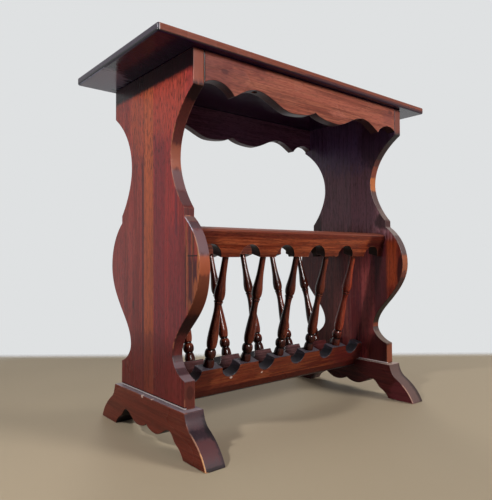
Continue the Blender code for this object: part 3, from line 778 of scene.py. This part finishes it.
# %% Finishes of the feet
finishes["left_foot_wood"] = mahogany(
    "left foot", ("#662519", "#762D20", "#843E2E"), ALONG_Y, 11.3, wear=0.5, gloss=0.18,
    streaks=0.4, sawn="#383238", sawn_share=0.8, pores=0.25, marks=(
        ("sawn stripe", (-236, 0, 66), (40, 160, 1.0), "#8A7C82", 0.8, 0.4),
        # Painted shade inside the arch.
        ("sawn patch", (-236, 12, 8), (60, 105, 44), "#0C0706", 0.9, 0.4),
        ("sawn stripe", (-236, -146, 22), (40, 40, 12), "#54292A", 0.65, 1.4),
        ("sawn stripe", (-236, -146, 39), (40, 40, 5), "#160C16", 0.7, 1.6),
        ("sawn stripe", (-236, -146, 0), (40, 40, 4.5), "#120A0A", 0.8, 0.8),
        # Painted shade on the right side of the toe's front face.
        ("sawn patch", (-217, -140, 48), (13, 40, 22), "#141012", 0.8, 0.8),
        ("sawn patch", (-216, -150, 20), (9, 40, 30), "#22161C", 0.7, 0.9),
        ("rubbed arris and glint", (-252, -140, 44), (8, 16, 26), "#A8745A", 0.9, 0.8),
        ("rubbed arris and glint", (-252, -154, 16), (8, 10, 20), "#DA9A66", 0.95, 0.6),
        ("chip and reflection", (-252, 12, 64), (4, 3.4, 2.6), "#D0B8A8", 0.95, 0.5),
        ("chip and reflection", (-251, -17, 66), (4, 3.0, 2.2), "#D0B8A8", 0.95, 0.5)))
# The right foot's darker shades are painted shade.
finishes["right_foot_wood"] = mahogany(
    "right foot", ("#3C1416", "#4A1A1A", "#602620"), ALONG_Y, 13.7, streaks=0.4, pores=0.25,
    sawn="#66524C", sawn_share=0.75, marks=(
        ("sawn patch", (254, -140, 20), (11, 60, 60), "#1E1212", 0.7, 0.9),
        ("sawn stripe", (236, 0, 66), (40, 140, 1.0), "#B0988C", 0.8, 0.3),
        ("patch", (220, -142, 12), (8, 34, 26), "#703034", 0.7, 0.6),
        ("rubbed arris and glint", (220, -148, 24), (8, 14, 30), "#B88A74", 0.85, 0.8)))
print("finished", list(finishes)[-2:])

# %% [markdown]
# ## Finishes of the rails
#
# The rails are browner than the panels. The notched upper edges of the lower rails are
# painted grey, a sheen where they face up. Painted shade darkens the notches of all four,
# their ends and the rounded lower edges of the lower rails.

# %% Finishes of the rails
for side, upper_shades, lower_shades in (
        ("front", ("#782E18", "#984626", "#B25A34"), ("#5A2014", "#783420", "#8E4828")),
        ("back", ("#4E2016", "#6A3020", "#804028"), ("#4B2C2C", "#623E3E", "#744C4C"))):
    finishes[side + "_upper_rail_wood"] = mahogany(
        side + " upper rail", upper_shades, ALONG_X, 17.0, gloss=0.12, sawn="#784030",
        sawn_share=0.75, worn="#BC7054", wear=0.8, marks=(
            # Painted shade at both ends.
            ("patch", (216, 0, 300), (40, FAR, 40), "#2A0C10", 0.85, 0.8),
            ("patch", (-214, 0, 300), (30, FAR, 40), "#4A1C14", 0.6, 0.8),
            ("patch", (-25, 0, 306), (34, FAR, 14), "#7A3018", 0.5, 0.8),
            ("stripe", (0, 0, 315), (FAR, 120, 7), "#5C2016", 0.6, 0.8),
            ("stripe", (0, 0, 281), (FAR, 120, 6), "#5A2014", 0.6, 0.8),
            # Painted shade: the notches nearly black.
            ("sawn stripe", (0, 0, 288), (FAR, 120, 17), "#0A0505", 0.9, 0.6)))
    finishes[side + "_lower_rail_wood"] = mahogany(
        # The grey sawn colour is a painted sheen on the lands and notches.
        side + " lower rail", lower_shades, ALONG_X, 19.0, sawn="#48464E", sawn_share=0.9,
        worn="#1C1210", wear=0.7, marks=(
            # Painted shade at both ends.
            ("patch", (200, 0, 90), (80, 60, 60), "#521A1A", 0.7, 0.8),
            ("patch", (-188, 0, 85), (38, FAR, 40), "#3E1410", 0.6, 0.8),
            ("patch", (-40, 0, 73), (16, FAR, 7), "#A05634", 0.35, 0.9),
            # Painted shade on the rounded lower edge.
            ("stripe", (0, 0, 55), (FAR, 60, 11), "#3E120E", 0.85, 0.3),
            # Painted shade in the notches.
            ("sawn stripe", (0, 0, 90), (FAR, 60, 7), "#141216", 0.7, 0.8),
            ("chip and reflection", (-113, -32, 79.4), (2.6, 3, 2.0), "#D8BCA8", 0.9, 0.6),
            ("chip and reflection", (-45, -32, 77.9), (2.2, 3, 1.6), "#E0C8B4", 0.9, 0.6)))
print("finished", list(finishes)[-4:])

# %% [markdown]
# ## Finishes of the end panels
#
# Each half of a panel came from another plank, with stripes of its own. The back half of the
# left one has an orange stripe along the glue line, and its front half purple ones. A hip
# that broke off was glued back, which left small dark and orange marks round it. Dust and
# dirt lie where a panel meets its foot. The dark under the top, the pale stripe half-way up
# the right panel's inner face and the bands up the sawn front edges were fitted to the
# photograph, so they hold some of its light and shade beside wear and dirt.

# %% Painted shade, dust and dirt that the panel boards share
# The left panel's outer face and the right one's inner face, in millimetres.
LEFT_X = round(MM_IN_A_METRE * left_faces["left"])
RIGHT_X = round(MM_IN_A_METRE * left_faces["right"])
DUST = ("line", (LEFT_X, 0, 67.0), (3, 140, 0.9), "#D8D0CC", 0.9, 0.7)
DIRT = ("line", (LEFT_X, 0, 68.8), (3, 140, 0.9), "#2A1210", 0.9, 0.2)
# Painted shadow of the top across the upper left panel.
PAINTED_TOP_SHADOW = ("stripe", (LEFT_X, 0, 560), (4, 150, 18), "#2C1424", 0.85, 0.6)
DUST_INSIDE = ("line", (RIGHT_X, 0, 67.0), (3, 140, 0.9), "#D8C8C4", 0.9, 0.3)
LOW_SHADE = ("patch", (LEFT_X, 0, 90), (4, 150, 70), "#662222", 0.65, 0.5)
OUTER_SHADOW_DUST_AND_DIRT = (PAINTED_TOP_SHADOW, LOW_SHADE, DUST, DIRT)
# Painted shade: a purple tint of the shade under the top, on the right panel's inner face.
INNER_GLOOM = ("patch", (RIGHT_X, 0, 548), (4, 150, 90), "#806688", 0.75, 0.8)
OPEN_GRAIN_ABOVE = 0.44
print("panel faces in mm at", LEFT_X, "and", RIGHT_X)

# %% Bands up the sawn front edges
BAND_RAGGED = 0.8
# Each band's lower and upper height in millimetres, its colour and its strength.
# The bands hold painted light and shade beside wear and dirt: orange where the edge faces forwards,
# grey sheen where it faces up and near black where it faces down.
EDGE_BANDS = {
    "left": (
        (66, 103, "#6A3426", 0.5), (104, 111, "#6A5A5E", 0.8), (111, 119, "#362A2E", 0.8),
        (119, 127, "#625256", 0.8), (127, 136, "#463638", 0.8), (168, 199, "#120808", 0.7),
        (199, 254, "#7E4026", 0.7), (254, 281, "#AC5632", 0.8), (281, 318, "#74595C", 0.75),
        (318, 328, "#4A3C40", 0.75), (328, 336, "#6A5450", 0.75), (352, 374, "#54393A", 0.8),
        (374, 407, "#6C4E4E", 0.8), (407, 444, "#9A523A", 0.85), (444, 497, "#5E2A22", 0.5),
        (500, 521, "#080408", 0.85), (521, 568, "#964A32", 0.85)),
    "right": (
        (66, 103, "#84432A", 0.85), (104, 127, "#6C5A50", 0.8), (127, 135, "#50403C", 0.8),
        (135, 143, "#7E3A24", 0.85), (143, 202, "#1C120C", 0.85), (202, 236, "#3A1812", 0.85),
        (236, 248, "#6E3220", 0.8), (248, 281, "#9A5230", 0.85), (281, 318, "#5E4A48", 0.8),
        (318, 336, "#84746E", 0.8), (336, 350, "#4A2A28", 0.8), (350, 374, "#746058", 0.8),
        (374, 411, "#604844", 0.8), (411, 440, "#C4703E", 0.85), (440, 462, "#86402A", 0.85),
        (462, 474, "#5A281E", 0.85), (474, 500, "#2A1210", 0.85), (500, 521, "#2A2422", 0.85),
        (521, 568, "#7E4234", 0.85))}
edge_bands = {end: [("sawn stripe", (0, 0, (low + high) / 2), (FAR, FAR, (high - low) / 2),
                     shade, much, BAND_RAGGED) for low, high, shade, much in bands]
              for end, bands in EDGE_BANDS.items()}
print("bands", {end: len(bands) for end, bands in edge_bands.items()})

# %% Finishes of the left panel
finishes["left_panel_front_board_wood"] = mahogany(
    "left panel front board", ("#7A2622", "#98302E", "#AE483A"), ALONG_Z, 23.0, pores=0.75,
    open_above=OPEN_GRAIN_ABOVE, streaks=0.45, sawn="#43221F", sawn_share=0.75, worn="#B87050",
    wear=0.8, marks=(
        ("stripe", (LEFT_X, -28, 240), (4, 17, 250), "#742228", 0.75, 0.3),
        ("stripe", (LEFT_X, -60, 240), (4, 14, 250), "#942C2A", 0.6, 0.3),
        ("stripe", (LEFT_X, -80, 225), (4, 24, 105), "#70282C", 0.6, 0.6),
        ("stripe", (LEFT_X, -76, 400), (4, 3, 90), "#5A2430", 0.6, 0.5),
        ("patch", (LEFT_X, -45, 515), (4, 60, 60), "#AC442E", 0.55, 0.8),
        ("patch", (LEFT_X, -112, 300), (4, 15, 28), "#94482C", 0.4, 0.8),
        ("stripe", (LEFT_X, -111, 298), (4, 3.4, 30), "#42202A", 0.7, 0.9),
        ("stripe", (LEFT_X, -120, 300), (4, 1.8, 20), "#3A1A20", 0.7, 0.9),
        ("stripe", (LEFT_X, -103, 292), (4, 1.4, 44), "#A05A34", 0.7, 0.9),
        ("stripe", (LEFT_X, -100, 250), (4, 1.8, 44), "#3A1614", 0.8, 0.8),
        ("stripe", (LEFT_X, -105, 250), (4, 2.2, 46), "#9A5634", 0.8, 0.8),
        ("stripe", (LEFT_X, -113, 244), (4, 5.0, 34), "#3A181C", 0.85, 0.8),
        ("stripe", (LEFT_X, -118, 262), (4, 1.4, 52), "#8A4A2C", 0.8, 0.8),
        ("stripe", (LEFT_X, -124, 246), (4, 5.0, 32), "#38181E", 0.85, 0.8),
        ("stripe", (LEFT_X, -132, 262), (4, 2.0, 40), "#A86438", 0.8, 0.8),
        ("line", (LEFT_X, -118, 280), (4, 13, 1.0), "#1E0E0C", 0.9, 0.6),
        ("patch", (LEFT_X, -133, 262), (4, 4.5, 24), "#AC5C34", 0.8, 0.8),
        ("patch", (LEFT_X, -125, 230), (4, 5, 20), "#AC5C34", 0.8, 0.8),
        ("patch", (LEFT_X, -111, 205), (4, 5, 14), "#9A5430", 0.7, 0.8),
        # Painted glint along the outer arris.
        ("rubbed arris and glint", (LEFT_X, -114, 325), (3, 20, 13), "#D0CCDA", 0.9, 0.5),
        ("rubbed arris and glint", (LEFT_X, -130, 290), (3, 10, 20), "#D89868", 0.9, 0.8),
        *edge_bands["left"], ("sawn patch", (-236, -97, 88), (6, 8, 10), "#280F0D", 0.5, 0.6),
        *OUTER_SHADOW_DUST_AND_DIRT))
finishes["left_panel_back_board_wood"] = mahogany(
    "left panel back board", ("#762822", "#8E342E", "#A64A3A"), ALONG_Z, 29.0, pores=0.75,
    open_above=OPEN_GRAIN_ABOVE, streaks=0.45, sawn="#43221F", sawn_share=0.75, wear=0.5,
    marks=(
        ("stripe", (LEFT_X, 4.5, 300), (4, 15, 300), "#B0562E", 0.75, 0.15),
        ("stripe", (LEFT_X, 23, 220), (4, 3.4, 220), "#4E1E22", 0.8, 0.3),
        ("stripe", (LEFT_X, 6, 100), (4, 1.4, 26), "#2C1210", 0.9, 0.5),
        ("patch", (LEFT_X, 24, 505), (4, 44, 66), "#A84C2E", 0.6, 0.8),
        ("patch", (LEFT_X, 56, 201), (4, 2.6, 7), "#3A1814", 0.8, 0.5),
        *OUTER_SHADOW_DUST_AND_DIRT))
print("finished", list(finishes)[-2:])

# %% Finishes of the right panel
finishes["right_panel_front_board_wood"] = mahogany(
    "right panel front board", ("#62222A", "#7A2E30", "#924234"), ALONG_Z, 31.0,
    gloss=0.20, sawn="#32201A", sawn_share=0.85, worn="#8A5A44", wear=0.4, marks=(
        ("stripe", (RIGHT_X, -120, 252), (5, 25, 58), "#7A2C1A", 0.8, 0.3),
        ("stripe", (RIGHT_X, -110, 264), (5, 12, 46), "#AA4826", 0.75, 0.9),
        ("patch", (RIGHT_X, -131, 246), (5, 8, 34), "#2C0C10", 0.85, 0.7),
        ("stripe", (RIGHT_X, -85, 230), (5, 14, 110), "#341820", 0.65, 0.8),
        # Painted light: paler where the rack casts a shadow on the inner face.
        ("stripe", (RIGHT_X, -52, 180), (5, 16, 70), "#A8504C", 0.65, 0.8),
        ("stripe", (RIGHT_X, -17, 170), (5, 9, 80), "#4E1E22", 0.5, 0.8),
        ("patch", (RIGHT_X, -92, 82), (5, 46, 46), "#1C0808", 0.8, 0.6),
        # The edge bands, then a painted sheen half-way up the inner face.
        *edge_bands["right"], ("stripe", (RIGHT_X, 0, 410), (4, 150, 85), "#C88E94", 0.8, 0.8),
        ("patch", (RIGHT_X, -94, 348), (5, 22, 17), "#2A1418", 0.85, 0.8), INNER_GLOOM,
        ("patch", (RIGHT_X, -70, 508), (5, 38, 46), "#4A2226", 0.6, 0.8), DUST_INSIDE))
finishes["right_panel_back_board_wood"] = mahogany(
    "right panel back board", ("#60262C", "#763234", "#8C483A"), ALONG_Z, 37.0,
    gloss=0.24, sawn="#4A2420", sawn_share=0.6, wear=0.4, marks=(
        # Painted sheen half-way up the inner face.
        ("stripe", (RIGHT_X, 0, 410), (4, 150, 85), "#C89498", 0.8, 0.8),
        ("patch", (RIGHT_X, 84, 350), (5, 12, 34), "#341C20", 0.8, 0.8),
        ("stripe", (RIGHT_X, 41, 180), (5, 22, 70), "#985850", 0.5, 0.8), INNER_GLOOM, DUST_INSIDE))
print("finished", list(finishes)[-2:])

# %% [markdown]
# ## Finish of the spindles
#
# Turned work is polished on the lathe, so the spindles are glossier and smoother than the
# boards. Their feet and beads are darker, their grooves are painted nearly black, and shade is
# painted on their left sides. One spindle has a redder, brighter copy of the finish, painted
# light for the strong light on its right side.

# %% Finish of the spindles
TURNED_SHADES = {"turned": ("#4C1C12", "#743220", "#A04E30"),
                 "turned, painted as lit": ("#7E2C1E", "#A04028", "#BE5E3E")}
# This spindle takes the redder, brighter copy: painted light.
PAINTED_LIT_SPINDLES = ("front_spindle_5_turned",)
EVERYWHERE = ((0, 0, 190), (FAR, FAR, FAR))
turned = {name: mahogany(
    name, shades, ALONG_Z, 41.0, rough=0.10, gloss=0.16, pores=0.0, streaks=0.3, marks=(
        ("stripe", (0, 0, 100), (FAR, FAR, 28), "#200A08", 0.75, 0.3),
        ("groove", *EVERYWHERE, "#120605", 0.9, 0.0),
        ("shaded side", *EVERYWHERE, "#0C0404", 0.92, 0.0)))
    for name, shades in TURNED_SHADES.items()}
for piece in spindles:
    finishes[piece.name] = turned["turned, painted as lit" if piece.name in PAINTED_LIT_SPINDLES else "turned"]
for name, finish in finishes.items():
    piece = bpy.data.objects[name]
    piece.data.materials.clear()
    piece.data.materials.append(finish)
print("finishes", len(set(finishes.values())))

# %% [markdown]
# ## Screws
#
# The screws that hold the top are turned steel, dulled by damp and dirt in soft spots a few
# millimetres wide. They sit deep in their holes. The frame's solids are right for them, and
# they only get their finish.

# %% Screws
SPOTS_MM = 2.0
SPOTS_SET_IN = (0.4, 0.6)
STEEL_ROUGHNESS = 0.45
STEEL_SHADES = ("#6E675E", "#4A3F38")

steel, steel_tree, steel_surface = new_material("dull steel")
spots = pattern_of(steel_tree, add(steel_tree, "TexCoord").outputs["Object"], SPOTS_MM, ALONG_Z)
spots = add(steel_tree, "MapRange", (spots, *SPOTS_SET_IN), **SOFTLY)
feed(steel_tree, steel_surface.inputs["Base Color"], add(
    steel_tree, "Mix", (spots, *[tone(shade) for shade in STEEL_SHADES]), **COLOURS))
steel_surface.inputs["Metallic"].default_value = 1.0
steel_surface.inputs["Roughness"].default_value = STEEL_ROUGHNESS
screws = [node for name, node in nodes.items() if name.startswith("top_screw_")]
for screw in screws:
    screw.data.materials.clear()
    screw.data.materials.append(steel)
print("screws in dull steel", len(screws))

# %% [markdown]
# ## Riding on the frame
#
# Nothing on this table moves, so every piece rides on its one body.

# %% Ride
wood_pieces = [*boards, *spindles]
for piece in wood_pieces:
    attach(piece, "root")
print("pieces", len(wood_pieces))

# %% [markdown]
# ## Floor
#
# A plain floor in matt pale paint keeps the table's shadow. It thins out into the backdrop
# further off, and along a straight line behind the table, so that no hard horizon crosses
# it. The camera and the reflections see it pale, but it throws little light back up, which
# leaves the undersides dark.

# %% Floor
FLOOR_RADIUS = 1.4
FLOOR_SIDES = 96
FLOOR_DROP = 0.0002
FADE_START = 0.78
FADE_END = 1.22
BACK_HEADING = 0.6892
BACK_START = 0.46
BACK_END = 0.54
FLOOR_SHADE, FLOOR_SHADE_SEEN = "#3C342C", "#A4947C"
PAINT_ROUGHNESS = 0.6
PAINT_GLOSS = 0.2

bpy.ops.object.select_all(action="DESELECT")
bpy.ops.mesh.primitive_circle_add(vertices=FLOOR_SIDES, radius=FLOOR_RADIUS,
                                  fill_type="NGON", location=(0, 0, -FLOOR_DROP))
floor = bpy.context.active_object
floor.name = "floor"
print("floor radius in metres", FLOOR_RADIUS)


# %% Matt floor paint
def shown(tree):
    """1 for the rays that show the backdrop: the camera's own, mirrored and clear ones."""
    rays = add(tree, "LightPath").outputs
    bent = add(tree, "Math", (rays["Is Glossy Ray"], rays["Is Transmission Ray"]),
               operation="MAXIMUM")
    return add(tree, "Math", (rays["Is Camera Ray"], bent), operation="MAXIMUM")


floor_paint, floor_tree, floor_surface = new_material("pale floor")
feed(floor_tree, floor_surface.inputs["Base Color"], add(
    floor_tree, "Mix", (shown(floor_tree), tone(FLOOR_SHADE), tone(FLOOR_SHADE_SEEN)), **COLOURS))
floor_surface.inputs["Roughness"].default_value = PAINT_ROUGHNESS
floor_surface.inputs["Specular IOR Level"].default_value = PAINT_GLOSS
floor.data.materials.append(floor_paint)
print("floor paint", floor_paint.name)

# %% Where the floor thins out
floor_place = add(floor_tree, "TexCoord").outputs["Object"]
how_far = add(floor_tree, "VectorMath", (floor_place,), operation="LENGTH")
backwards = (math.sin(BACK_HEADING), math.cos(BACK_HEADING), 0)
how_far_back = add(floor_tree, "VectorMath", (floor_place, backwards), operation="DOT_PRODUCT")
thin_outside = add(floor_tree, "MapRange", (how_far, FADE_START, FADE_END), **SOFTLY)
thin_behind = add(floor_tree, "MapRange", (how_far_back, BACK_START, BACK_END), **SOFTLY)
thinness = add(floor_tree, "Math", (thin_outside, thin_behind), operation="MAXIMUM")
thin = add(floor_tree, "MixShader",
           (thinness, floor_surface, add(floor_tree, "BsdfTransparent")))
feed(floor_tree, floor_tree.nodes["Material Output"].inputs["Surface"], thin)
print("floor thins out from", FADE_START, "metres")

# %% [markdown]
# ## World
#
# The camera and the reflections see a bright room. The world lights the boards weakly and
# from overhead alone, so that the lamps can shape them.

# %% World
AMBIENT_STRENGTH = 0.30
OVERHEAD = 0.7
ROOM_SHADE = "#DFE1E2"

world = bpy.data.worlds.new("room")
scene.world = world
world.use_nodes = True
world_tree = world.node_tree
sky = world_tree.nodes["Background"]
heading = add(world_tree, "SeparateXYZ", (add(world_tree, "TexCoord").outputs["Generated"],))
overhead = add(world_tree, "MapRange", (heading.outputs["Z"], 0.0, OVERHEAD, 0.0,
                                        AMBIENT_STRENGTH), **SOFTLY)
feed(world_tree, sky.inputs["Strength"], add(
    world_tree, "MapRange", {"Value": shown(world_tree), "To Min": overhead, "To Max": 1.0}))
sky.inputs["Color"].default_value = tone(ROOM_SHADE)
print("ambient strength overhead", AMBIENT_STRENGTH)

# %% [markdown]
# ## Lamps
#
# A small lamp near the left end draws crisp shadows, and a broad one lights the front. The
# window gives reflections alone. One lamp lights the back, and a weak bluish skylight fills
# the shadows on the left.

# %% Lamps
# Each lamp's place and target in metres, its width, its watts, and the rays it is hidden from.
LAMPS = {
    "left softbox": ((-0.95, -0.2, 0.858), (-0.2, 0, 0.35), 0.07, 6.7, ""),
    "front softbox": ((1.1, -2.1, 1.3), (0, 0, 0.35), 0.8, 54, "visible_glossy"),
    "window": ((-0.3, -2.2, 1.45), (0, 0, 0.35), 0.9, 150, "visible_diffuse"),
    "back softbox": ((1.3, 2.0, 1.3), (0, 0, 0.35), 0.8, 22, "visible_glossy"),
    "skylight": ((-1.3, -1.6, 0.2), (0.1, 0, 0.4), 1.0, 4, "visible_glossy"),
}
SKYLIGHT_SHADE = "#B8D0FF"

for name, (place, target, width, power, hidden_from) in LAMPS.items():
    lamp = bpy.data.objects.new(name, bpy.data.lights.new(name, "AREA"))
    scene.collection.objects.link(lamp)
    lamp.data.size = width
    lamp.data.energy = power
    lamp.location = place
    lamp.rotation_euler = (Vector(target) - Vector(place)).to_track_quat("-Z", "Y").to_euler()
    lamp.visible_camera = False
    if hidden_from:
        setattr(lamp, hidden_from, False)
bpy.data.lights["skylight"].color = tone(SKYLIGHT_SHADE)[:3]
print("lamps", len(LAMPS))
